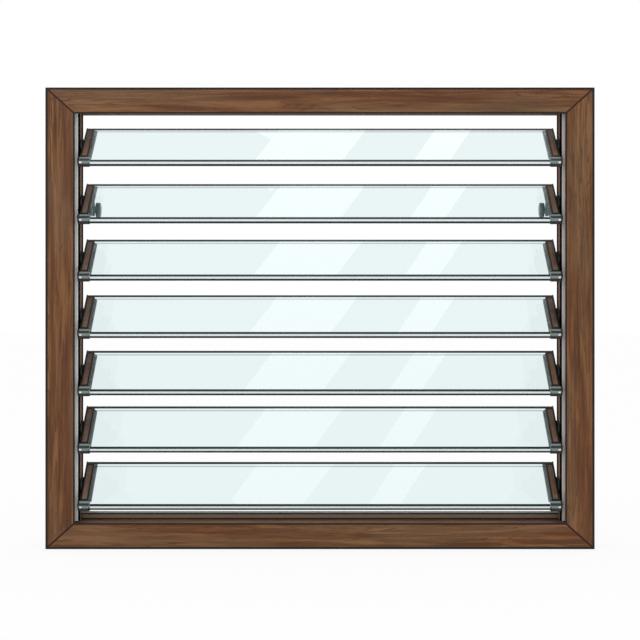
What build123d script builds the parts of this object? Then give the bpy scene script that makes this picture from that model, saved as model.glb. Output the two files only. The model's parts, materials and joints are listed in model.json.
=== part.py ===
from build123d import *
import os
from math import cos, radians, sin

os.makedirs("parts", exist_ok=True)

# A louvre window: seven tilting glass blades between two vertical galleries, in a
# mitred frame of hollow wood-finish aluminium sections. Millimetres, +Z up, and the
# outdoor side looks along -Y. The origin is the middle of the sill's underside.

# Frame
frame_width = 872
frame_depth = 76
frame_wall = 2
jamb_face = 46.5  # front face of an upright, lip included
rail_face = 41.5  # front face of head and sill, lip included
jamb_box = 33  # an upright behind its lip
fixing_radius = 2.75
fixing_inset = 150  # from the frame's ends

# Blades: 102 x 10 glass on a 91 pitch
blade_count = 7
blade_pitch = 91
glass_width = 102  # along the slope
glass_thickness = 10
glass_arris = 1
closed_tilt = 8  # degrees from the vertical
rest_tilt = 52.5
open_tilt = 90
knob_blade = 2  # counted from the top
sill_clearance = 1.5  # a closed blade's lip, above the sill's lip
head_cover = 2  # the head's lip, below a closed blade's top edge

# Blade end clips
plate_thickness = 2.2
leg_thickness = 3
leg_width = 15
leg_chamfer = 6
lip_thickness = 2.5
lip_reach = 9  # up the outer face of the glass
lip_gap = 0.5  # between the lip's outer end and the gallery
lip_corner = 2.5
nest_gap = 1.4  # between the ends of closed neighbours, along the slope
nest_step = 0.6  # between their faces
hub_radius = 14.5
hub_thickness = 2.5
hub_gap = 0.3
pivot_radius = 3
crank_radius = 11
crank_pin_radius = 2
pin_fit = 0.05

# Cover strip over each clip, on the outer face of the glass
cover_width = 13
cover_thickness = 3
cover_chamfer = 0.6
cover_top_gap = 7

# Galleries, bushes and link bars
gallery_depth = 18
gallery_width = 39
gallery_web = 2
gallery_flange = 1.6
bush_wall = 1.2
bush_flange = 1.2
bush_flange_lap = 1.2
slot_clearance = 0.4
link_width = 8
link_thickness = 3
link_gap = 3  # behind the gallery's web
pin_past_link = 1

# Seals, sill board and weather bars
seal_width = 8
seal_inset = 2  # from the gallery's inner corner
seal_thickness = 2.5
end_gap = 0.3
board_fall = 1.4  # from the weather bar to the front lip
bar_thickness = 2
bar_foot = 12
bar_height = 10
bead_height = 3
bar_setback = 0.5  # behind the blades' pivot line
fin_gap = 0.9  # above the closed top blade

# Knobs
knob_radius = 12
knob_disc = 8.5
knob_crown = 3
knob_neck = 2.5
knob_neck_radius = 5
knob_back = 9.5  # axis behind the clip's leg
lug_radius = 10
lug_thickness = 3.5
spigot_radius = 3

half_width = frame_width / 2
rail_box = jamb_box * rail_face / jamb_face
floor_x = half_width - jamb_box
gallery_x = floor_x - gallery_depth
plate_x = gallery_x - hub_gap - hub_thickness
glass_x = plate_x - plate_thickness
cover_x = plate_x - plate_thickness / 2 - cover_width
leg_x = glass_x - leg_width
lip_end = gallery_x - lip_gap
link_x = gallery_x + gallery_web + link_gap

half_glass = glass_width / 2
half_thick = glass_thickness / 2
bottom_pivot = rail_face + sill_clearance + lip_thickness + half_glass
top_pivot = bottom_pivot + (blade_count - 1) * blade_pitch
pivot_heights = [top_pivot - i * blade_pitch for i in range(blade_count)]
frame_height = top_pivot + half_glass + rail_face - head_cover
ceiling = frame_height - rail_box
board_top = rail_face + end_gap + board_fall - 1
gallery_foot = board_top + end_gap

tilt = radians(rest_tilt)
up_slope = (0, sin(tilt), cos(tilt))
outward = (0, -cos(tilt), sin(tilt))

# How closed neighbours nest: the clip above reaches down to nest_from on the blade
# below, and its back there is nest_depth outside the middle of that blade's glass.
nest_from = (
    blade_pitch * cos(radians(closed_tilt)) - half_glass - lip_thickness - nest_gap
)
nest_depth = blade_pitch * sin(radians(closed_tilt)) - half_thick
leg_foot = half_glass - blade_pitch * cos(radians(closed_tilt)) + nest_gap

# The crank pins stand level with the pivots at the middle of the swing.
half_swing = radians(open_tilt - closed_tilt) / 2
crank_turn = radians(rest_tilt - (open_tilt + closed_tilt) / 2)
crank_y = crank_radius * cos(crank_turn)
crank_drop = crank_radius * sin(crank_turn)


def end_plane(x, pivot_z):
    """Across a blade's end: local X up the slope, local Y out of the outer face."""
    return Plane(origin=(x, 0, pivot_z), x_dir=up_slope, z_dir=(1, 0, 0))


def face_plane(lift, pivot_z):
    """Parallel to a blade's face: local X along the window, local Y up the slope."""
    return Plane(origin=(0, 0, pivot_z), x_dir=(1, 0, 0), z_dir=outward).offset(lift)


# Head and sill: one hollow section, with a front lip that hides the pocket behind it.
# The mitres run from the frame's outer corner to the corner of the opening.
head_mitre = Plane(
    origin=(half_width, 0, frame_height),
    x_dir=(jamb_face, 0, rail_face),
    z_dir=(rail_face, 0, -jamb_face),
)
sill_mitre = Plane(
    origin=(half_width, 0, 0),
    x_dir=(jamb_face, 0, -rail_face),
    z_dir=(rail_face, 0, jamb_face),
)

with BuildPart() as sill:
    with BuildSketch(Plane.YZ.offset(-half_width)) as sill_section:
        with Locations((0, rail_box / 2)):
            Rectangle(frame_depth, rail_box)
            Rectangle(
                frame_depth - 2 * frame_wall,
                rail_box - 2 * frame_wall,
                mode=Mode.SUBTRACT,
            )
        with Locations(((frame_wall - frame_depth) / 2, rail_face / 2)):
            Rectangle(frame_wall, rail_face)
    extrude(amount=frame_width)
    split(bisect_by=sill_mitre, keep=Keep.BOTTOM)
    split(bisect_by=Plane(
        origin=(-half_width, 0, 0),
        x_dir=(jamb_face, 0, rail_face),
        z_dir=(-rail_face, 0, jamb_face),
    ), keep=Keep.BOTTOM)
sill.part.label = "sill"
export_step(sill.part, "parts/sill.step")

with BuildPart() as head:
    mirror(sill.part, about=Plane.XY.offset(frame_height / 2))
head.part.label = "head"
export_step(head.part, "parts/head.step")

# Uprights: the same build in their own section, with fixing holes through both walls,
# behind the gallery.
with BuildPart() as right_jamb:
    with BuildSketch():
        with Locations((half_width - jamb_box / 2, 0)):
            Rectangle(jamb_box, frame_depth)
            Rectangle(
                jamb_box - 2 * frame_wall,
                frame_depth - 2 * frame_wall,
                mode=Mode.SUBTRACT,
            )
        with Locations((half_width - jamb_face / 2, (frame_wall - frame_depth) / 2)):
            Rectangle(jamb_face, frame_wall)
    extrude(amount=frame_height)
    split(bisect_by=sill_mitre, keep=Keep.TOP)
    split(bisect_by=head_mitre, keep=Keep.TOP)
    with BuildSketch(Plane.YZ.offset(floor_x)):
        for z in (fixing_inset, frame_height - fixing_inset):
            with Locations((0, z)):
                Circle(fixing_radius)
    extrude(amount=jamb_box, mode=Mode.SUBTRACT)
right_jamb.part.label = "right_jamb"
export_step(right_jamb.part, "parts/right_jamb.step")

with BuildPart() as left_jamb:
    mirror(right_jamb.part, about=Plane.YZ)
left_jamb.part.label = "left_jamb"
export_step(left_jamb.part, "parts/left_jamb.step")

# Sill board: a tray section that covers the sill's pocket. It falls from the weather
# bar to the front lip, and is flat behind the bar.
board_front = frame_wall - frame_depth / 2 + end_gap
board_back = frame_depth / 2
with BuildPart() as sill_board:
    with BuildSketch(Plane.YZ.offset(end_gap - floor_x)):
        with BuildLine():
            Polyline(
                (board_front, rail_box),
                (board_front, board_top - board_fall),
                (bar_setback, board_top),
                (board_back, board_top),
                (board_back, rail_box),
                (board_back - frame_wall, rail_box),
                (board_back - frame_wall, board_top - frame_wall),
                (bar_setback, board_top - frame_wall),
                (board_front + frame_wall, board_top - board_fall - frame_wall),
                (board_front + frame_wall, rail_box),
                close=True,
            )
        make_face()
    extrude(amount=2 * (floor_x - end_gap))
sill_board.part.label = "sill_board"
export_step(sill_board.part, "parts/sill_board.step")

# Sill weather bar: an angle on the board, close behind the lowest closed blade, with a
# soft bead along its top edge.
bar_length = 2 * (gallery_x - end_gap)
with BuildPart() as sill_weather_bar:
    with BuildSketch(Plane.YZ.offset(-bar_length / 2)):
        with BuildLine():
            Polyline(
                (bar_setback, board_top),
                (bar_setback, board_top + bar_height),
                (bar_setback + bar_thickness, board_top + bar_height),
                (bar_setback + bar_thickness, board_top + bar_thickness),
                (bar_setback + bar_foot, board_top + bar_thickness),
                (bar_setback + bar_foot, board_top),
                close=True,
            )
        make_face()
    extrude(amount=bar_length)
sill_weather_bar.part.label = "sill_weather_bar"
export_step(sill_weather_bar.part, "parts/sill_weather_bar.step")

with BuildPart() as sill_seal:
    with BuildSketch(Plane.YZ.offset(-bar_length / 2)) as bead:
        with Locations((bar_setback + bar_thickness / 2, board_top + bar_height)):
            Rectangle(bar_thickness, bead_height, align=(Align.CENTER, Align.MIN))
        fillet(bead.vertices().group_by(Axis.Y)[-1], bar_thickness * 0.45)
    extrude(amount=bar_length)
sill_seal.part.label = "sill_seal"
export_step(sill_seal.part, "parts/sill_seal.step")

# Head weather bar: a fin under the head's pocket, over the closed top blade's edge.
top_edge_y = half_glass * sin(radians(closed_tilt))
fin_foot = top_pivot + half_glass + fin_gap
with BuildPart() as head_weather_bar:
    with BuildSketch(Plane.YZ.offset(-bar_length / 2)):
        with BuildLine():
            Polyline(
                (top_edge_y, ceiling),
                (top_edge_y, fin_foot),
                (top_edge_y + bar_thickness, fin_foot),
                (top_edge_y + bar_thickness, ceiling - bar_thickness),
                (top_edge_y + bar_foot, ceiling - bar_thickness),
                (top_edge_y + bar_foot, ceiling),
                close=True,
            )
        make_face()
    extrude(amount=bar_length)
head_weather_bar.part.label = "head_weather_bar"
export_step(head_weather_bar.part, "parts/head_weather_bar.step")

# Galleries: a channel in each upright. Its web has a bushed square hole for every
# blade's pivot, and a window beside it in which the crank pin swings.
bush_size = 2 * (pivot_radius + pin_fit + bush_wall)
pin_reach = crank_pin_radius + slot_clearance
slot_near = crank_radius * cos(half_swing) - pin_reach
slot_far = crank_radius + pin_reach
slot_half = crank_radius * sin(half_swing) + pin_reach
slot_corner = (
    slot_far
    + slot_half
    - crank_radius * (cos(half_swing) + sin(half_swing))
    - pin_reach * 2**0.5
    - slot_clearance
)
with BuildPart() as right_gallery:
    with BuildSketch(Plane.XY.offset(gallery_foot)):
        with Locations(((gallery_x + floor_x) / 2, 0)):
            Rectangle(gallery_depth, gallery_width)
        with Locations((gallery_x + gallery_web + gallery_depth / 2, 0)):
            Rectangle(
                gallery_depth,
                gallery_width - 2 * gallery_flange,
                mode=Mode.SUBTRACT,
            )
    extrude(amount=ceiling - end_gap - gallery_foot)
    with BuildSketch(Plane.YZ.offset(gallery_x)):
        with Locations([(0, z) for z in pivot_heights]):
            Rectangle(bush_size + 2 * pin_fit, bush_size + 2 * pin_fit)
            Polygon(
                (slot_near, -slot_half),
                (slot_far - slot_corner, -slot_half),
                (slot_far, slot_corner - slot_half),
                (slot_far, slot_half - slot_corner),
                (slot_far - slot_corner, slot_half),
                (slot_near, slot_half),
                align=None,
            )
    extrude(amount=gallery_web, mode=Mode.SUBTRACT)
right_gallery.part.label = "right_gallery"
export_step(right_gallery.part, "parts/right_gallery.step")

with BuildPart() as left_gallery:
    mirror(right_gallery.part, about=Plane.YZ)
left_gallery.part.label = "left_gallery"
export_step(left_gallery.part, "parts/left_gallery.step")

# Pivot bushes: a square-shanked sleeve in each pivot hole, with a flange behind the web.
bush_flange_size = bush_size + 2 * bush_flange_lap
with BuildPart() as right_pivot_bushes:
    with BuildSketch(Plane.YZ.offset(gallery_x)):
        with Locations([(0, z) for z in pivot_heights]):
            Rectangle(bush_size, bush_size)
    extrude(amount=gallery_web)
    with BuildSketch(Plane.YZ.offset(gallery_x + gallery_web)):
        with Locations([(0, z) for z in pivot_heights]):
            Rectangle(bush_flange_size, bush_flange_size)
    extrude(amount=bush_flange)
    with BuildSketch(Plane.YZ.offset(gallery_x)):
        with Locations([(0, z) for z in pivot_heights]):
            Circle(pivot_radius + pin_fit)
    extrude(amount=gallery_web + bush_flange, mode=Mode.SUBTRACT)
right_pivot_bushes.part.label = "right_pivot_bushes"
export_step(right_pivot_bushes.part, "parts/right_pivot_bushes.step")

with BuildPart() as left_pivot_bushes:
    mirror(right_pivot_bushes.part, about=Plane.YZ)
left_pivot_bushes.part.label = "left_pivot_bushes"
export_step(left_pivot_bushes.part, "parts/left_pivot_bushes.step")

# Side seals: a pale strip down the front flange of each gallery.
with BuildPart() as right_side_seal:
    with BuildSketch(Plane.XY.offset(gallery_foot)) as strip:
        with Locations((gallery_x + seal_inset, -gallery_width / 2)):
            Rectangle(seal_width, seal_thickness, align=(Align.MIN, Align.MAX))
        fillet(strip.vertices().group_by(Axis.Y)[0], seal_thickness * 0.3)
    extrude(amount=ceiling - end_gap - gallery_foot)
right_side_seal.part.label = "right_side_seal"
export_step(right_side_seal.part, "parts/right_side_seal.step")

with BuildPart() as left_side_seal:
    mirror(right_side_seal.part, about=Plane.YZ)
left_side_seal.part.label = "left_side_seal"
export_step(left_side_seal.part, "parts/left_side_seal.step")

# Blades: glass held at each end in a moulded clip, with a cover strip outside it.
glass_face = half_thick
lip_face = half_thick + cover_thickness
lip_foot = -half_glass - lip_thickness
lip_top = lip_reach - half_glass
leg_face = -half_thick - leg_thickness
knob_axis = leg_face - knob_back

for number, pivot_z in enumerate(pivot_heights, start=1):
    with BuildPart() as glass:
        with BuildSketch(end_plane(-glass_x, pivot_z)) as pane:
            Rectangle(glass_width, glass_thickness)
            chamfer(pane.vertices(), glass_arris)
        extrude(amount=2 * glass_x)
    glass.part.label = f"blade_{number}_glass"
    export_step(glass.part, f"parts/blade_{number}_glass.step")

    with BuildPart() as clips:
        # End plate, stepped back where it nests behind the blade above
        with BuildSketch(end_plane(glass_x, pivot_z)) as plate:
            with BuildLine():
                Polyline(
                    (lip_foot, -half_thick),
                    (leg_foot, -half_thick),
                    (leg_foot, leg_face),
                    (half_glass, leg_face),
                    (half_glass, glass_face),
                    (lip_top, glass_face),
                    (lip_top, lip_face),
                    (lip_foot, lip_face),
                    close=True,
                )
            make_face()
            fillet(plate.vertices().group_by(Axis.X)[0], lip_thickness * 0.8)
        extrude(amount=plate_thickness)
        # Lip that wraps the glass's lower edge, and its block beyond the glass's end
        with BuildSketch(end_plane(leg_x, pivot_z)) as lip:
            with BuildLine():
                Polyline(
                    (lip_foot, -half_thick),
                    (-half_glass, -half_thick),
                    (-half_glass, glass_face),
                    (lip_top, glass_face),
                    (lip_top, lip_face),
                    (lip_foot, lip_face),
                    close=True,
                )
            make_face()
            fillet(lip.vertices().group_by(Axis.X)[0], lip_thickness * 0.8)
        extrude(amount=leg_width)
        with BuildSketch(end_plane(glass_x, pivot_z)) as lip_block:
            with Locations((lip_foot, -half_thick)):
                Rectangle(
                    lip_top - lip_foot,
                    lip_face + half_thick,
                    align=(Align.MIN, Align.MIN),
                )
            fillet(lip_block.vertices().group_by(Axis.X)[0], lip_thickness * 0.8)
        extrude(amount=lip_end - glass_x)
        with BuildSketch(face_plane(-half_thick, pivot_z)):
            for x, inward in ((leg_x, 1), (lip_end, -1)):
                Polygon(
                    (x, lip_foot),
                    (x + inward * lip_corner, lip_foot),
                    (x, lip_foot + lip_corner),
                    align=None,
                )
        extrude(amount=lip_face + half_thick, mode=Mode.SUBTRACT)
        # Leg behind the glass, with its top corner taken off
        with BuildSketch(face_plane(leg_face, pivot_z)) as leg:
            with Locations((glass_x, leg_foot)):
                Rectangle(
                    leg_width, half_glass - leg_foot, align=(Align.MAX, Align.MIN)
                )
            chamfer(leg.vertices().sort_by(Axis.X)[:2].sort_by(Axis.Z)[-1], leg_chamfer)
        extrude(amount=leg_thickness)
        # Hub disc, pivot pin and crank pin
        with BuildSketch(Plane.YZ.offset(plate_x)):
            with Locations((0, pivot_z)):
                Circle(hub_radius)
        extrude(amount=hub_thickness)
        with BuildSketch(Plane.YZ.offset(plate_x + hub_thickness)):
            with Locations((0, pivot_z)):
                Circle(pivot_radius)
        extrude(amount=hub_gap + gallery_web + bush_flange + 1)
        with BuildSketch(Plane.YZ.offset(plate_x + hub_thickness)):
            with Locations((crank_y, pivot_z - crank_drop)):
                Circle(crank_pin_radius)
        extrude(amount=link_x + link_thickness + pin_past_link - plate_x - hub_thickness)
        if number == knob_blade:
            # Lug that carries the knob, behind the leg
            with BuildSketch(end_plane(leg_x, pivot_z)):
                with Locations((0, knob_axis)):
                    Circle(lug_radius)
                    Rectangle(
                        2 * lug_radius, knob_back, align=(Align.CENTER, Align.MIN)
                    )
                    Circle(spigot_radius + pin_fit, mode=Mode.SUBTRACT)
            extrude(amount=lug_thickness)
        mirror(about=Plane.YZ)
    clips.part.label = f"blade_{number}_clips"
    export_step(clips.part, f"parts/blade_{number}_clips.step")

    with BuildPart() as covers:
        with BuildSketch(face_plane(glass_face, pivot_z)):
            with Locations((cover_x, lip_top)):
                Rectangle(cover_width, nest_from - lip_top, align=(Align.MIN, Align.MIN))
        extrude(amount=cover_thickness)
        front = covers.faces().sort_by(Axis((0, 0, pivot_z), outward))[-1]
        chamfer(front.edges(), cover_chamfer)
        # Thin tongue under the lip of the blade above
        with BuildSketch(face_plane(glass_face, pivot_z)):
            with Locations((cover_x, nest_from)):
                Rectangle(
                    cover_width,
                    half_glass - cover_top_gap - nest_from,
                    align=(Align.MIN, Align.MIN),
                )
        extrude(amount=nest_depth - nest_step - glass_face)
        mirror(about=Plane.YZ)
    covers.part.label = f"blade_{number}_covers"
    export_step(covers.part, f"parts/blade_{number}_covers.step")

# Knobs: a mushroom turned on the lug's axis, with a spigot through the lug.
knob_z = pivot_heights[knob_blade - 1]
knob_plane = face_plane(knob_axis, knob_z)
with BuildPart() as right_knob:
    with BuildSketch(knob_plane):
        with BuildLine():
            disc_back = leg_x - knob_neck
            disc_rim = disc_back - knob_disc + knob_crown
            crown = disc_back - knob_disc
            Polyline(
                (crown, 0),
                (crown, knob_radius * 0.45),
                (crown + knob_crown * 0.35, knob_radius * 0.8),
                (disc_rim, knob_radius),
                (disc_back, knob_radius),
                (disc_back, knob_neck_radius),
                (leg_x, knob_neck_radius + 1.5),
                (leg_x, spigot_radius),
                (leg_x + lug_thickness, spigot_radius),
                (leg_x + lug_thickness, 0),
                (crown, 0),
            )
        make_face()
    revolve(axis=Axis(knob_plane.origin, (1, 0, 0)))
right_knob.part.label = "right_knob"
export_step(right_knob.part, "parts/right_knob.step")

with BuildPart() as left_knob:
    mirror(right_knob.part, about=Plane.YZ)
left_knob.part.label = "left_knob"
export_step(left_knob.part, "parts/left_knob.step")

# Link bars: flat bars inside the galleries that join all the crank pins.
with BuildPart() as right_link_bar:
    link_length = (blade_count - 1) * blade_pitch + 2 * link_width
    link_middle = (pivot_heights[0] + pivot_heights[-1]) / 2 - crank_drop
    with BuildSketch(Plane.YZ.offset(link_x)):
        with Locations((crank_y, link_middle)):
            SlotOverall(link_length, link_width, rotation=90)
        with Locations([(crank_y, z - crank_drop) for z in pivot_heights]):
            Circle(crank_pin_radius + pin_fit, mode=Mode.SUBTRACT)
    extrude(amount=link_thickness)
right_link_bar.part.label = "right_link_bar"
export_step(right_link_bar.part, "parts/right_link_bar.step")

with BuildPart() as left_link_bar:
    mirror(right_link_bar.part, about=Plane.YZ)
left_link_bar.part.label = "left_link_bar"
export_step(left_link_bar.part, "parts/left_link_bar.step")
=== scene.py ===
import json
from math import pi, radians

import bpy
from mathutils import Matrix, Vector


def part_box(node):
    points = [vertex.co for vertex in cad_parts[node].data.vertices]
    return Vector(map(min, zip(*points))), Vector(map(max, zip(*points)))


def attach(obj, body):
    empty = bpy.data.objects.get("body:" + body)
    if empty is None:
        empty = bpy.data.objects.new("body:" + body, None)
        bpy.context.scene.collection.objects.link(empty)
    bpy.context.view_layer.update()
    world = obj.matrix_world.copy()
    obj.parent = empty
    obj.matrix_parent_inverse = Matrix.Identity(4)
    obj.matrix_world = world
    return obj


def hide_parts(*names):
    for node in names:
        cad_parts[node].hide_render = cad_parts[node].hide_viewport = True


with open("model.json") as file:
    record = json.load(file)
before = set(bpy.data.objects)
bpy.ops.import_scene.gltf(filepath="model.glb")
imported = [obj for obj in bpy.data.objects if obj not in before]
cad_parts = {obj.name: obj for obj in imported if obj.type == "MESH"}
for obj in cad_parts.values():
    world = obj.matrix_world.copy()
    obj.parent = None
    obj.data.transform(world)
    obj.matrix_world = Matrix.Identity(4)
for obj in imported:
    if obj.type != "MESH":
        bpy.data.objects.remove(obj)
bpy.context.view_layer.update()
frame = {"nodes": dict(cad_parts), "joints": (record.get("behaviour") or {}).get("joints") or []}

nodes = frame["nodes"]
mm = 0.001


# Outer frame: head, sill and two uprights.
# Hollow aluminium sections in a walnut wood-grain coat, mitred and crimped at the
# corners. Painted shade makes the coat nearly black along the arrises, and it is
# red-brown in the cuts.

def new_finish(name, rough, metallic=0.0, specular=0.25):
    """An empty material and its parts: (material, node maker, linker, shader)."""
    finish = bpy.data.materials.new(name)
    finish.use_nodes = True
    tree = finish.node_tree
    shader = tree.nodes["Principled BSDF"]
    shader.inputs["Roughness"].default_value = rough
    shader.inputs["Metallic"].default_value = metallic
    shader.inputs["Specular IOR Level"].default_value = specular
    return finish, tree.nodes.new, tree.links.new, shader


def srgb(red, green, blue):
    """A colour as seen on a screen, 0 to 255, as the shader wants it."""
    def linear(c):
        c = c / 255
        return c / 12.92 if c <= 0.04045 else ((c + 0.055) / 1.055) ** 2.4
    return (linear(red), linear(green), linear(blue), 1)


def calc(new, link, operation, *values):
    """One Math node. Each value is a number or a socket."""
    node = new("ShaderNodeMath")
    node.operation = operation
    for socket, value in zip(node.inputs, values):
        if isinstance(value, (int, float)):
            socket.default_value = value
        else:
            link(value, socket)
    return node.outputs[0]


def least(new, link, *values):
    """The smallest of several distances."""
    result = values[0]
    for value in values[1:]:
        result = calc(new, link, "MINIMUM", result, value)
    return result


def away(new, link, value, edge):
    """The distance between the two, either way."""
    return calc(new, link, "ABSOLUTE", calc(new, link, "SUBTRACT", value, edge))


def across_lines(new, link, *edges):
    """How far across the lines along some edges: 0 on an edge, 1 where its line ends.
    Each edge is given as the distance from it and its line's width."""
    shares = [calc(new, link, "DIVIDE", distance, width) for distance, width in edges]
    return least(new, link, *shares)


def fade(new, link, value, start, end, full=1.0):
    """full where value is below start, 0 above end."""
    node = new("ShaderNodeMapRange")
    node.interpolation_type = "SMOOTHSTEP"
    node.inputs["From Min"].default_value = start
    node.inputs["From Max"].default_value = end
    node.inputs["To Min"].default_value = full
    node.inputs["To Max"].default_value = 0
    link(value, node.inputs["Value"])
    return node.outputs["Result"]


def tint(new, link, amount, colour_a, colour_b):
    """colour_a where amount is 0, colour_b where it is 1."""
    node = new("ShaderNodeMix")
    node.data_type = "RGBA"
    link(amount, node.inputs["Factor"])
    for name, colour in (("A", colour_a), ("B", colour_b)):
        socket = next(s for s in node.inputs if s.name == name and s.type == "RGBA")
        if isinstance(colour, tuple):
            socket.default_value = colour
        else:
            link(colour, socket)
    return next(s for s in node.outputs if s.type == "RGBA")


def noise(new, link, where, waves, detail=3.0, distortion=0.0):
    """Noise with so many waves to a metre along each axis."""
    stretch = new("ShaderNodeMapping")
    stretch.inputs["Scale"].default_value = waves
    link(where, stretch.inputs["Vector"])
    node = new("ShaderNodeTexNoise")
    node.inputs["Scale"].default_value = 1
    node.inputs["Detail"].default_value = detail
    node.inputs["Roughness"].default_value = 0.55
    node.inputs["Distortion"].default_value = distortion
    link(stretch.outputs["Vector"], node.inputs["Vector"])
    return node.outputs["Fac"]


def bumped(new, link, shader, height, depth):
    """Gives the surface a relief as deep as depth."""
    bump = new("ShaderNodeBump")
    bump.inputs["Strength"].default_value = 0.6
    bump.inputs["Distance"].default_value = depth
    link(height, bump.inputs["Height"])
    link(bump.outputs["Normal"], shader.inputs["Normal"])


def axes(new, link, where):
    """A point's X, counted from the middle of the window either way, its Y and its Z."""
    split = new("ShaderNodeSeparateXYZ")
    link(where, split.inputs["Vector"])
    from_middle = calc(new, link, "ABSOLUTE", split.outputs["X"])
    return from_middle, split.outputs["Y"], split.outputs["Z"]


walnut_dark, walnut_mid, walnut_light = srgb(70, 39, 13), srgb(101, 64, 30), srgb(133, 93, 54)
walnut_red, walnut_grey = srgb(112, 62, 36), srgb(120, 94, 68)
walnut_vein, walnut_speck = srgb(80, 44, 20), srgb(66, 40, 24)


def walnut(new, link, shader, where, upright, shift):
    """Walnut figure along X, or along Z if upright. Returns the colour socket."""
    place = new("ShaderNodeMapping")
    place.inputs["Rotation"].default_value = (0, radians(90), 0) if upright else (0, 0, 0)
    place.inputs["Location"].default_value = shift
    link(where, place.inputs["Vector"])
    grain = place.outputs["Vector"]
    figure = noise(new, link, grain, (4.5, 75, 75), 3, 1.1)
    bands = noise(new, link, grain, (7, 190, 190), 3, 0.5)
    fibres = noise(new, link, grain, (28, 620, 620), 2)
    pores = noise(new, link, grain, (60, 1900, 1900), 2)
    blend = calc(new, link, "MULTIPLY", figure, 0.42)
    blend = calc(new, link, "MULTIPLY_ADD", bands, 0.38, blend)
    blend = calc(new, link, "MULTIPLY_ADD", fibres, 0.2, blend)
    ramp = new("ShaderNodeValToRGB")
    stops = ramp.color_ramp.elements
    stops[0].position, stops[0].color = 0.41, walnut_dark
    stops[1].position, stops[1].color = 0.59, walnut_light
    middle = stops.new(0.5)
    middle.color = walnut_mid
    link(blend, ramp.inputs["Fac"])
    # The brown leans to red in some places and to grey in others
    red = noise(new, link, grain, (3, 24, 24), 2)
    red = fade(new, link, red, 0.42, 0.6, 0.3)
    colour = tint(new, link, red, ramp.outputs["Color"], walnut_red)
    grey = noise(new, link, grain, (4, 38, 38), 2)
    grey = fade(new, link, grey, 0.4, 0.56, 0.34)
    colour = tint(new, link, grey, colour, walnut_grey)
    # Dark veins, where the figure runs through one value
    veins = fade(new, link, away(new, link, figure, 0.53), 0.004, 0.022, 0.65)
    colour = tint(new, link, veins, colour, walnut_vein)
    specks = fade(new, link, pores, 0.36, 0.46, 0.25)
    colour = tint(new, link, specks, colour, walnut_speck)
    bumped(new, link, shader, pores, 0.05 * mm)
    return colour


def dress(node_name, finish):
    """Gives a CAD node its finish."""
    mesh = nodes[node_name].data
    mesh.materials.clear()
    mesh.materials.append(finish)


def soften_edges(node_name, width):
    """A small radius on the sharp edges of a CAD node."""
    piece = nodes[node_name]
    weld = piece.modifiers.new("join_facets", "WELD")
    weld.merge_threshold = 0.002 * mm
    bevel = piece.modifiers.new("edge_radius", "BEVEL")
    bevel.width = width
    bevel.segments = 2
    bevel.limit_method = "ANGLE"
    bevel.angle_limit = radians(50)


half_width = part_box("right_jamb")[1][0]
half_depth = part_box("sill")[1][1]
frame_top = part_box("head")[1][2]
rail_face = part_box("sill")[1][2]
jamb_face = half_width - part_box("right_jamb")[0][0]
mitre_length = (jamb_face**2 + rail_face**2) ** 0.5
# The front faces include a lip. The hollow box behind it is narrower
lip_depth = 2.5 * mm
jamb_box = 33 * mm
rail_box = jamb_box * rail_face / jamb_face
# The painted shade along the arrises, and the red-brown of the mitre cuts
edge_shade_brown, cut_brown = srgb(24, 15, 9), srgb(44, 16, 7)
outer_line, inner_line, solid_line = 4 * mm, 2.9 * mm, 0.78
cut_dark, cut_end = 0.96 * mm, 1.8 * mm


def framed_walnut(node_name, upright, shift):
    """Grain along the member, with painted shade along the arrises and dark mitre cuts."""
    finish, new, link, shader = new_finish(f"walnut_coat_{node_name}", 0.5)
    where = new("ShaderNodeTexCoord").outputs["Object"]
    colour = walnut(new, link, shader, where, upright, shift)
    x, y, z = axes(new, link, where)
    from_side = calc(new, link, "SUBTRACT", half_width, x)
    from_top = calc(new, link, "SUBTRACT", frame_top, z)
    # Distances from the outer side, from the inner side (the lip's in front, the
    # box's behind it) and from the front or back face
    if upright:
        outside, face, box = from_side, jamb_face, jamb_box
    else:
        outside, face, box = (from_top if node_name == "head" else z), rail_face, rail_box
    behind = calc(new, link, "GREATER_THAN", y, lip_depth - half_depth)
    reach = calc(new, link, "MULTIPLY_ADD", behind, box - face, face)
    inside = away(new, link, reach, outside)
    depth = calc(new, link, "SUBTRACT", half_depth, calc(new, link, "ABSOLUTE", y))
    # Painted shade: nearly black along the outer and inner sides and the front and back faces
    line = across_lines(new, link, (outside, outer_line), (inside, inner_line))
    line = calc(new, link, "MAXIMUM", line, across_lines(new, link, (depth, outer_line)))
    arris = fade(new, link, line, solid_line, 1)
    # Distance from the mitres, which join the outer and inner corners
    run_x = calc(new, link, "MULTIPLY", from_side, rail_face / mitre_length)
    cuts = []
    for height in (z, from_top):
        run_z = calc(new, link, "MULTIPLY", height, jamb_face / mitre_length)
        cuts.append(away(new, link, run_x, run_z))
    cut = fade(new, link, least(new, link, *cuts), cut_dark, cut_end)
    colour = tint(new, link, cut, colour, cut_brown)
    link(tint(new, link, arris, colour, edge_shade_brown), shader.inputs["Base Color"])
    return finish


for name, upright, shift in (
    ("head", False, (0.3, 0.1, 0.02)),
    ("sill", False, (1.7, 0.4, 0.9)),
    ("left_jamb", True, (0.2, 0.9, 0.35)),
    ("right_jamb", True, (2.6, 0.2, 0.8)),
):
    dress(name, framed_walnut(name, upright, shift))
    soften_edges(name, 0.4 * mm)
# Left out of what the glass mirrors, so that the glint reaches the top blade too
nodes["head"].visible_glossy = False


# Sill board: a sloping tray section in the same coat, over the sill's pocket.
# It carries the weather bar, and its front edge shows above the sill's lip.

finish, new, link, shader = new_finish("walnut_coat_board", 0.5)
where = new("ShaderNodeTexCoord").outputs["Object"]
link(walnut(new, link, shader, where, False, (3.1, 1.2, 0.5)), shader.inputs["Base Color"])
dress("sill_board", finish)
soften_edges("sill_board", 0.3 * mm)


# Galleries and weather bars: bronze powder-coated aluminium, painted dark along the edges as
# shade.
# The galleries are channels screwed into the uprights. The bars are angles under the
# head and on the sill board, close to the closed blades.

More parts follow.
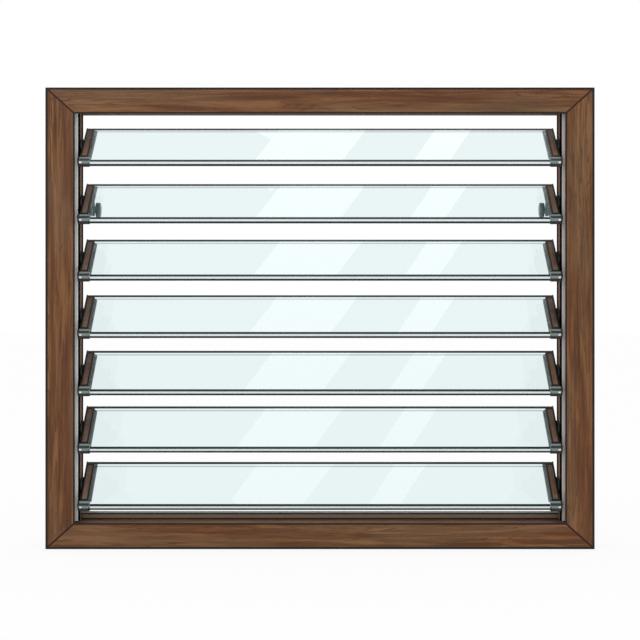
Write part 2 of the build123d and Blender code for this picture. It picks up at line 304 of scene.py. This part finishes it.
def speckled(new, link, shader, colour, specks, depth, spread=0.84):
    """A moulded or sprayed colour with a fine orange-peel surface. Returns the
    coordinates and the colour, for a finish that goes on from there."""
    where = new("ShaderNodeTexCoord").outputs["Object"]
    grain = noise(new, link, where, (specks, specks, specks))
    bumped(new, link, shader, grain, depth)
    shade = tuple(c * spread for c in colour[:3]) + (1,)
    coat = tint(new, link, grain, shade, colour)
    link(coat, shader.inputs["Base Color"])
    return where, coat


gallery_bronze, gallery_shade = srgb(136, 110, 98), srgb(7, 5, 3)
gallery_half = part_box("right_gallery")[1][1]
front_line, back_line = 8 * mm, 16.67 * mm
finish, new, link, shader = new_finish("bronze_coat", 0.7, 0.0, 0.0)
where, colour = speckled(new, link, shader, gallery_bronze, 900, 0.02 * mm)
y = axes(new, link, where)[1]
from_front = calc(new, link, "ADD", y, gallery_half)
from_back = calc(new, link, "SUBTRACT", gallery_half, y)
# Painted shade: dark bands along the channel's front and back edges
line = across_lines(new, link, (from_front, front_line), (from_back, back_line))
dark = fade(new, link, line, 0.75, 1)
link(tint(new, link, dark, colour, gallery_shade), shader.inputs["Base Color"])
for name in ("left_gallery", "right_gallery"):
    dress(name, finish)
    soften_edges(name, 0.25 * mm)

bar_bronze, bar_shade = srgb(134, 116, 100), srgb(30, 18, 12)
bar_foot, bar_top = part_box("sill_weather_bar")[0][2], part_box("sill_weather_bar")[1][2]
finish, new, link, shader = new_finish("bronze_coat_bars", 0.5)
where, colour = speckled(new, link, shader, bar_bronze, 900, 0.02 * mm)
height = axes(new, link, where)[2]
# Painted shade along the bar's foot and its top edge
edge = least(new, link, away(new, link, height, bar_foot), away(new, link, height, bar_top))
dark = fade(new, link, edge, 1.8 * mm, 2.6 * mm)
link(tint(new, link, dark, colour, bar_shade), shader.inputs["Base Color"])
for name in ("sill_weather_bar", "head_weather_bar"):
    dress(name, finish)
    soften_edges(name, 0.25 * mm)
# As for the head: the glass doesn't mirror it
nodes["head_weather_bar"].visible_glossy = False


# Seals: light-grey soft strips, the right one painted a little darker, as shade.
# One is bonded down each gallery's front flange, and a bead runs along the top of the
# sill's weather bar.

for finish_name, shade, node_name in (
    ("pale_seal", srgb(236, 239, 237), "left_side_seal"),
    # Painted shade: the right seal is the same strip, a little darker
    ("shaded_seal", srgb(208, 201, 199), "right_side_seal"),
    ("grey_bead", srgb(160, 156, 151), "sill_seal"),
):
    finish, new, link, shader = new_finish(finish_name, 0.8)
    speckled(new, link, shader, shade, 1400, 0.02 * mm, 0.92)
    dress(node_name, finish)


# Pivot bushes: dark nylon sleeves pressed into the galleries' square holes.
# Each blade's pins turn in a pair of them.

finish, new, link, shader = new_finish("bush_nylon", 0.45)
speckled(new, link, shader, srgb(50, 50, 48), 1200, 0.01 * mm)
for name in ("left_pivot_bushes", "right_pivot_bushes"):
    dress(name, finish)


# Link bars: mill-finish flat aluminium, drilled for the crank pins.
# They run inside the galleries and make all seven blades turn together.

mill_grey, mill_bright = srgb(176, 177, 178), srgb(200, 201, 202)
finish, new, link, shader = new_finish("mill_aluminium", 0.38, 1.0, 0.5)
where = new("ShaderNodeTexCoord").outputs["Object"]
drawn = noise(new, link, where, (3000, 3000, 25))
link(tint(new, link, drawn, mill_grey, mill_bright), shader.inputs["Base Color"])
bumped(new, link, shader, drawn, 0.01 * mm)
for name in ("left_link_bar", "right_link_bar"):
    dress(name, finish)
    soften_edges(name, 0.2 * mm)


# Glass blades: clear float glass, 102 x 10 mm.
# The long edges are ground flat and their arrises taken off. Seen from outside, the
# edges read as dark lines with a paler ground band between them. The dark lines are
# painted shade, and a bright band under the top edge is a painted highlight.

def see_through(name, colour, rough=0.0):
    """Glass that lets plain light through to what stands behind it."""
    finish, new, link, shader = new_finish(name, rough, 0.0, 0.5)
    shader.inputs["Base Color"].default_value = colour
    shader.inputs["Transmission Weight"].default_value = 1
    shader.inputs["IOR"].default_value = 1.33
    clear = new("ShaderNodeBsdfTransparent")
    clear.inputs["Color"].default_value = (0.93, 0.96, 0.96, 1)
    mix = new("ShaderNodeMixShader")
    link(new("ShaderNodeLightPath").outputs["Is Shadow Ray"], mix.inputs["Fac"])
    link(shader.outputs["BSDF"], mix.inputs[1])
    link(clear.outputs["BSDF"], mix.inputs[2])
    output = next(n for n in finish.node_tree.nodes if n.type == "OUTPUT_MATERIAL")
    link(mix.outputs["Shader"], output.inputs["Surface"])
    return finish


clear_glass = see_through("clear_glass", (0.812, 0.904, 0.913, 1))
top_edge = see_through("ground_top_edge", (0.58, 0.78, 0.79, 1), 0.2)
# A painted highlight band and a painted shade line on the outer face, under the top edge
painted_highlight_band = see_through("painted_glass_highlight", (0.96, 0.98, 0.98, 1))
painted_shade_line = see_through("painted_glass_line_shade", (0.25, 0.33, 0.34, 1))

ground_edge, new, link, shader = new_finish("ground_glass_edge", 0.4)
speckled(new, link, shader, srgb(236, 246, 247), 700, 0.02 * mm, 0.94)

# Painted shade on the arrises, along the outer face's top and foot, and under the back of the
# lower edge
painted_arris_shade, new, link, shader = new_finish("painted_glass_edge_shade", 0.3)
speckled(new, link, shader, srgb(26, 38, 39), 500, 0.01 * mm)

pivots = {}
for joint in frame["joints"]:
    if joint["child"].startswith("blade_"):
        pivots[joint["child"]] = Vector(joint["pos_m"])
tilt = radians(52.5)
# A hair smaller than the CAD glass, so that it doesn't share faces with the clips
glass_length = 2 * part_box("blade_1_glass")[1][0] - 0.1 * mm
glass_width, glass_thick, glass_arris = 102 * mm, 9.9 * mm, 1 * mm
# Where the outer face's painted shade and painted highlight start and end, up the slope from the
# pivot
dark_from, band_from, line_from, foot_to = 44.6 * mm, 41 * mm, 37.8 * mm, -46.6 * mm
# Where the lower edge turns to painted shade, in from the middle of the glass
back_cut = 0.1 * mm


def edit(piece, kind, wanted):
    """Into edit mode on one piece, with the edges or faces picked that wanted accepts."""
    bpy.ops.object.select_all(action="DESELECT")
    bpy.context.view_layer.objects.active = piece
    piece.select_set(True)
    bpy.ops.object.mode_set(mode="EDIT")
    bpy.ops.mesh.select_mode(type=kind)
    bpy.ops.mesh.select_all(action="DESELECT")
    bpy.ops.object.mode_set(mode="OBJECT")
    for part in piece.data.edges if kind == "EDGE" else piece.data.polygons:
        part.select = wanted(part)
    bpy.ops.object.mode_set(mode="EDIT")


def settle(piece):
    """Puts the piece's place, turn and size into its mesh."""
    bpy.ops.object.select_all(action="DESELECT")
    bpy.context.view_layer.objects.active = piece
    piece.select_set(True)
    bpy.ops.object.transform_apply(location=True, rotation=True, scale=True)


bpy.ops.object.select_all(action="DESELECT")
bpy.ops.mesh.primitive_cube_add(size=1)
pane = bpy.context.object
pane.name = "blade_1_pane"
pane.scale = (glass_length, glass_thick, glass_width)
settle(pane)


def lengthways(edge):
    """True for the pane's four long edges."""
    a, b = (pane.data.vertices[v].co for v in edge.vertices)
    return abs(a.x - b.x) > glass_length / 2


edit(pane, "EDGE", lengthways)
bpy.ops.mesh.bevel(offset=glass_arris, segments=1)
for height in (dark_from, band_from, line_from, foot_to):
    bpy.ops.mesh.select_all(action="SELECT")
    bpy.ops.mesh.bisect(plane_co=(0, 0, height), plane_no=(0, 0, 1))
bpy.ops.mesh.select_all(action="SELECT")
bpy.ops.mesh.bisect(plane_co=(0, back_cut, 0), plane_no=(0, 1, 0))
bpy.ops.object.mode_set(mode="OBJECT")

pane_finishes = (clear_glass, ground_edge, painted_arris_shade, painted_highlight_band, painted_shade_line, top_edge)


def pane_finish(at, way):
    """A face's finish, by its middle and the way it looks."""
    if abs(way.x) > 0.9:
        return clear_glass
    if way.z > 0.9 or (way.z > 0.3 and way.y > 0.3):
        return top_edge
    if abs(way.z) > 0.3:
        return ground_edge if way.z < -0.9 and at.y < back_cut else painted_arris_shade
    # The outer face: painted shade at its top and foot, then a painted highlight band and a
    # painted shade line
    if way.y < -0.9:
        if at.z > dark_from or at.z < foot_to:
            return painted_arris_shade
        if at.z > band_from:
            return painted_highlight_band
        if at.z > line_from:
            return painted_shade_line
    return clear_glass


for finish in pane_finishes:
    pane.data.materials.append(finish)
for face in pane.data.polygons:
    face.material_index = pane_finishes.index(pane_finish(face.center, face.normal))
pane.rotation_euler = (-tilt, 0, 0)
pane.location = pivots["blade_1"]
settle(pane)

for body in sorted(pivots):
    piece = pane
    if body != "blade_1":
        bpy.ops.object.select_all(action="DESELECT")
        bpy.context.view_layer.objects.active = pane
        pane.select_set(True)
        bpy.ops.object.duplicate(linked=False)
        piece = bpy.context.object
        piece.name = f"{body}_pane"
        piece.location = pivots[body] - pivots["blade_1"]
        settle(piece)
    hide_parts(f"{body}_glass")
    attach(piece, body)
    # Each blade mirrors the plain studio, not the edges of the blades over it
    piece.visible_glossy = False


# End clips: dark green-grey moulded nylon, a pair to each blade.
# A lip wraps the glass's lower corner, a leg backs it, and a hub disc turns against
# the gallery. Painted shade darkens the lip's corners and edges, the plate and the hub,
# and a painted highlight sits under the lip.

clip_green, leg_grey, nose_shade_green = srgb(128, 140, 137), srgb(152, 150, 143), srgb(30, 44, 43)
painted_glint_pale, clip_shade = srgb(238, 244, 240), srgb(18, 24, 22)
half_thick = 5 * mm
plate_x, lip_end = 380 * mm, 384.5 * mm
lip_foot, lip_top, lip_face = -53.5 * mm, -42 * mm, 8 * mm
nose_deep, nose_high = 1.2 * mm, 6.67 * mm
# Where the painted highlight sits under the lip's outer end, and its size
glint_x, glint_out, glint_flat, glint_core, glint_rim = 379.5 * mm, 4.4 * mm, 0.8, 1.3 * mm, 2.1 * mm
# Widths of the painted shade outlines on the lip, and where they turn solid
end_line, tail_line, rim_line, clip_solid = 3.6 * mm, 8.57 * mm, 1.8 * mm, 2 / 3


def on_blade(new, link, where, body):
    """A blade's own axes, for a finish that turns with it: along the window, in through
    the glass and up the slope."""
    place = new("ShaderNodeMapping")
    place.vector_type = "TEXTURE"
    place.inputs["Location"].default_value = pivots[body]
    place.inputs["Rotation"].default_value = (-tilt, 0, 0)
    link(where, place.inputs["Vector"])
    return place.outputs["Vector"]


def clip_finish(body):
    """One blade's clips: green-grey, with painted shade as dark outlines on the lip, and a painted
    highlight under it.
    """
    finish, new, link, shader = new_finish(f"clip_nylon_{body}", 0.4, 0.0, 0.4)
    where, colour = speckled(new, link, shader, clip_green, 1100, 0.02 * mm)
    x, y, z = axes(new, link, on_blade(new, link, where, body))
    out = calc(new, link, "MULTIPLY", y, -1)
    from_foot = calc(new, link, "SUBTRACT", z, lip_foot)
    # The leg is a little paler where it lies against the glass
    leg = fade(new, link, away(new, link, out, -half_thick), 0.25 * mm, 0.45 * mm)
    colour = tint(new, link, leg, colour, leg_grey)
    # Painted shade: the lip's front corner is dark green
    front = calc(new, link, "DIVIDE", calc(new, link, "SUBTRACT", lip_face, out), nose_deep)
    under = calc(new, link, "DIVIDE", from_foot, nose_high)
    nose = fade(new, link, calc(new, link, "MAXIMUM", front, under), clip_solid, 1)
    colour = tint(new, link, nose, colour, nose_shade_green)
    # A painted highlight: a pale spot under the lip, near its outer end
    glint_a = calc(new, link, "MULTIPLY", calc(new, link, "SUBTRACT", x, glint_x), glint_flat)
    glint_b = calc(new, link, "SUBTRACT", out, glint_out)
    painted_glint = calc(new, link, "MULTIPLY", glint_a, glint_a)
    painted_glint = calc(new, link, "SQRT", calc(new, link, "MULTIPLY_ADD", glint_b, glint_b, painted_glint))
    painted_glint = fade(new, link, calc(new, link, "ADD", painted_glint, from_foot), glint_core, glint_rim)
    colour = tint(new, link, painted_glint, colour, painted_glint_pale)
    # Painted shade as outlines along the lip's outer end, its inner side and its upper rim
    line = across_lines(
        new, link,
        (calc(new, link, "SUBTRACT", lip_end, x), end_line),
        (calc(new, link, "ADD", out, half_thick), tail_line),
        (calc(new, link, "SUBTRACT", lip_top, z), rim_line),
    )
    # Above the lip, only the plate and the hub get the painted shade: 0 is dark there and 1 isn't
    above = calc(new, link, "GREATER_THAN", z, lip_top + 0.4 * mm)
    beyond = calc(new, link, "LESS_THAN", x, plate_x)
    line = calc(new, link, "MULTIPLY", line, calc(new, link, "SUBTRACT", 1, above))
    line = calc(new, link, "MULTIPLY_ADD", above, beyond, line)
    dark = fade(new, link, line, clip_solid, 1)
    link(tint(new, link, dark, colour, clip_shade), shader.inputs["Base Color"])
    return finish


for body in sorted(pivots):
    dress(f"{body}_clips", clip_finish(body))
    soften_edges(f"{body}_clips", 0.3 * mm)


# Cover strips: walnut foil strips clipped over the outer face of each end clip.
# Their edges are painted dark, as shade, as on the frame.

foil_faded = srgb(110, 97, 90)
cover_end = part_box("blade_1_covers")[1][0]
cover_start = cover_end - 13 * mm
cover_foot, cover_top = lip_top, glass_width / 2 - 7 * mm
cover_side_line, cover_end_line, cover_solid = 3 * mm, 4.29 * mm, 0.8


def cover_finish(body, shift):
    """One blade's cover strips: faded walnut up the slope, with painted shade as dark outlines."""
    finish, new, link, shader = new_finish(f"walnut_foil_{body}", 0.5)
    where = on_blade(new, link, new("ShaderNodeTexCoord").outputs["Object"], body)
    colour = walnut(new, link, shader, where, True, shift)
    faded = fade(new, link, noise(new, link, where, (60, 60, 60), 2), 0.2, 0.8)
    colour = tint(new, link, faded, colour, foil_faded)
    x, _, z = axes(new, link, where)
    line = across_lines(
        new, link,
        (calc(new, link, "SUBTRACT", cover_end, x), cover_side_line),
        (calc(new, link, "SUBTRACT", x, cover_start), cover_side_line),
        (calc(new, link, "SUBTRACT", z, cover_foot), cover_end_line),
        (calc(new, link, "SUBTRACT", cover_top, z), cover_end_line),
    )
    # Painted shade along the strip's sides and ends
    dark = fade(new, link, line, cover_solid, 1)
    link(tint(new, link, dark, colour, edge_shade_brown), shader.inputs["Base Color"])
    return finish


for number, body in enumerate(sorted(pivots)):
    dress(f"{body}_covers", cover_finish(body, (number * 0.7, number * 0.3, 0.1)))


# Knobs: a turned disc on a short neck, at each end of the second blade.
# Moulded in a glossy green-grey, and pinned into the lug behind the clip's leg.

knob_green, neck_green = srgb(50, 68, 70), srgb(168, 188, 182)
knob_low, knob_high = (Vector(corner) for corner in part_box("right_knob"))
knob_middle = (knob_low + knob_high) / 2
disc_radius, neck_radius, pin_radius = (knob_high.z - knob_low.z) / 2, 5 * mm, 3 * mm
disc_front, disc_back, leg_x = 356 * mm, 362 * mm, 365 * mm
# The crown's rings, each so many mm in from the last one and out from it
crown_steps = ((0.5, 0.6), (1.5, 0.6), (3.2, 0.5), (3.6, 0.3))

bpy.ops.object.select_all(action="DESELECT")
bpy.ops.mesh.primitive_cylinder_add(
    vertices=64,
    radius=disc_radius,
    depth=disc_back - disc_front,
    location=((disc_back + disc_front) / 2, knob_middle.y, knob_middle.z),
    rotation=(0, radians(90), 0),
)
knob = bpy.context.object
knob.name = "right_turned_knob"
settle(knob)

edit(knob, "FACE", lambda face: face.normal.x > 0.9)
bpy.ops.mesh.inset(thickness=disc_radius - neck_radius)
bpy.ops.mesh.extrude_region_move(TRANSFORM_OT_translate={"value": (leg_x - disc_back, 0, 0)})
bpy.ops.mesh.inset(thickness=neck_radius - pin_radius)
bpy.ops.mesh.extrude_region_move(TRANSFORM_OT_translate={"value": (knob_high.x - leg_x, 0, 0)})
bpy.ops.object.mode_set(mode="OBJECT")

edit(knob, "FACE", lambda face: face.normal.x < -0.9)
for inward, forward in crown_steps:
    bpy.ops.mesh.inset(thickness=inward * mm)
    bpy.ops.transform.translate(value=(-forward * mm, 0, 0))
bpy.ops.object.mode_set(mode="OBJECT")


def back_rim(edge):
    """True for the edges round the disc's back."""
    return all(
        abs(p.x - disc_back) < 0.1 * mm
        and Vector((0, p.y - knob_middle.y, p.z - knob_middle.z)).length > disc_radius * 0.98
        for p in (knob.data.vertices[v].co for v in edge.vertices)
    )


edit(knob, "EDGE", back_rim)
bpy.ops.mesh.bevel(offset=0.8 * mm, segments=4)
bpy.ops.object.mode_set(mode="OBJECT")
bpy.ops.object.shade_smooth_by_angle(angle=radians(40))

finish, new, link, shader = new_finish("knob_moulding", 0.3, 0.0, 0.5)
where, colour = speckled(new, link, shader, knob_green, 1500, 0.005 * mm)
neck = calc(new, link, "GREATER_THAN", axes(new, link, where)[0], disc_back + 0.2 * mm)
link(tint(new, link, neck, colour, neck_green), shader.inputs["Base Color"])
knob.data.materials.append(finish)

bpy.ops.object.duplicate(linked=False)
left_one = bpy.context.object
left_one.name = "left_turned_knob"
left_one.location = (0, 2 * knob_middle.y, 0)
left_one.rotation_euler = (0, 0, pi)
settle(left_one)

for piece, node_name in ((knob, "right_knob"), (left_one, "left_knob")):
    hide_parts(node_name)
    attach(piece, "blade_2")


# Floor, light and camera: a white studio.
# What the camera, mirrors and glass see of it is plain white, and the floor keeps a
# faint shadow. Two slanted strip lights overhead make the glint on every blade.

white = (1, 1, 1, 1)
floor_shade, floor_glow, floor_gap = (0.93, 0.93, 0.93, 1), 0.88, 0.5 * mm


def sees_backdrop(new, link):
    """1 for what the camera, mirrors and glass see, 0 for what lights the object."""
    path = new("ShaderNodeLightPath")
    seen = calc(new, link, "MAXIMUM", path.outputs["Is Camera Ray"], path.outputs["Is Glossy Ray"])
    return calc(new, link, "MAXIMUM", seen, path.outputs["Is Transmission Ray"])


world = bpy.data.worlds.new("soft_daylight")
bpy.context.scene.world = world
world.use_nodes = True
new, link = world.node_tree.nodes.new, world.node_tree.links.new
light = world.node_tree.nodes["Background"]
light.inputs["Color"].default_value = white
light.inputs["Strength"].default_value = 0.95
plain = new("ShaderNodeBackground")
plain.inputs["Color"].default_value = white
plain.inputs["Strength"].default_value = 1.0
mix = new("ShaderNodeMixShader")
link(sees_backdrop(new, link), mix.inputs["Fac"])
link(light.outputs["Background"], mix.inputs[1])
link(plain.outputs["Background"], mix.inputs[2])
link(mix.outputs["Shader"], world.node_tree.nodes["World Output"].inputs["Surface"])

bpy.ops.object.select_all(action="DESELECT")
bpy.ops.mesh.primitive_plane_add(size=40, location=(0, 0, -floor_gap))
floor = bpy.context.object
floor.name = "pale_floor"
finish, new, link, shader = new_finish("pale_floor", 0.9, 0.0, 0.0)
shader.inputs["Base Color"].default_value = floor_shade
glow = new("ShaderNodeEmission")
glow.inputs["Color"].default_value = white
glow.inputs["Strength"].default_value = 1.0
mix = new("ShaderNodeMixShader")
link(calc(new, link, "MULTIPLY", sees_backdrop(new, link), floor_glow), mix.inputs["Fac"])
link(shader.outputs["BSDF"], mix.inputs[1])
link(glow.outputs["Emission"], mix.inputs[2])
output = next(n for n in finish.node_tree.nodes if n.type == "OUTPUT_MATERIAL")
link(mix.outputs["Shader"], output.inputs["Surface"])
floor.data.materials.append(finish)


def lamp(name, place, turn, size, brightness):
    """A rectangular lamp, its turn in degrees. brightness is what a mirror shows of it,
    1 being white."""
    data = bpy.data.lights.new(name, "AREA")
    data.shape = "RECTANGLE"
    data.size, data.size_y = size
    data.energy = brightness * pi * size[0] * size[1]
    body = bpy.data.objects.new(name, data)
    body.location = place
    body.rotation_euler = [radians(angle) for angle in turn]
    bpy.context.scene.collection.objects.link(body)


strip_height, strip_length, strip_brightness = 1.4, 0.485, 1.85
lamp("front_light", (-0.9, -3.4, 1.7), (68, 0, -15), (2.4, 1.6), 1.2)
lamp(
    "wide_strip", (-0.016, 0.296, strip_height), (0, 0, -36.3),
    (0.152, strip_length), strip_brightness,
)
lamp(
    "narrow_strip", (0.269, 0.298, strip_height), (0, 0, -33.6),
    (0.065, strip_length), strip_brightness,
)

# The eye level of the photo lies 11 pixels above its middle, in 640
photo_height, eye_rise = 640, 11
camera_data = bpy.data.cameras.new("camera")
camera_data.sensor_width = 36
camera_data.lens = 83.1
camera_data.shift_y = -eye_rise / photo_height
camera_data.clip_end = 60
camera = bpy.data.objects.new("camera", camera_data)
camera.location = (0, -2.383, 0.3813)
camera.rotation_euler = (radians(90), 0, 0)
bpy.context.scene.collection.objects.link(camera)
bpy.context.scene.camera = camera
bpy.context.scene.view_settings.view_transform = "Standard"
